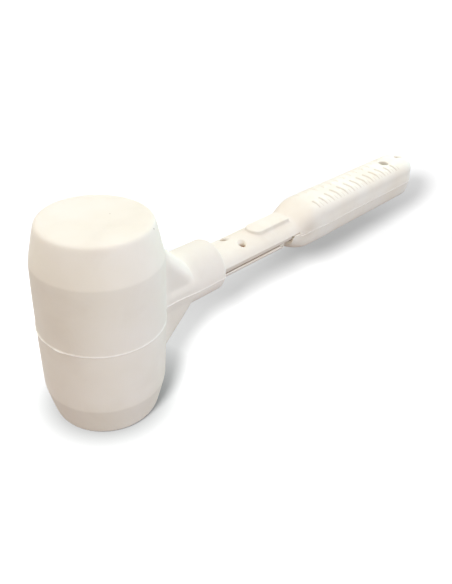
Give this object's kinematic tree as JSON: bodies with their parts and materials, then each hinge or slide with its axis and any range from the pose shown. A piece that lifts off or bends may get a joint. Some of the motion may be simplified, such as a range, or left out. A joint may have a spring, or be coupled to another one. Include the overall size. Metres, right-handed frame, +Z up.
{
  "type": "rubber mallet",
  "caption": "White rubber mallet with a barrel head, a moulded collar and a ribbed two-shell handle closed on an oval core bar.",
  "frame": {"origin": "centre of the lower striking face", "axes": "+Z up the head's axis to the upper striking face, +X along the handle from the head to the butt, +Y completes the right-handed frame"},
  "size_m": [0.3352, 0.0654, 0.11],
  "materials": {
    "head_rubber": "matt white moulded rubber with a fine mould texture and a thin flash line",
    "handle_plastic": "satin warm-white moulded plastic",
    "core_glass_fibre": "off-white pultruded glass-fibre bar, matt",
    "pin_nylon": "natural nylon",
    "anchor_steel": "plain steel, hidden in the head"
  },
  "bodies": {
    "root": {"rubber_head": "head_rubber", "core_bar": "core_glass_fibre", "anchor_plate": "anchor_steel", "anchor_pin_rear": "anchor_steel", "anchor_pin_front": "anchor_steel", "handle_shell_upper": "handle_plastic", "handle_shell_lower": "handle_plastic", "shell_pin_right": "pin_nylon", "shell_pin_left": "pin_nylon", "shell_pin_butt": "pin_nylon"}
  },
  "joints": []
}
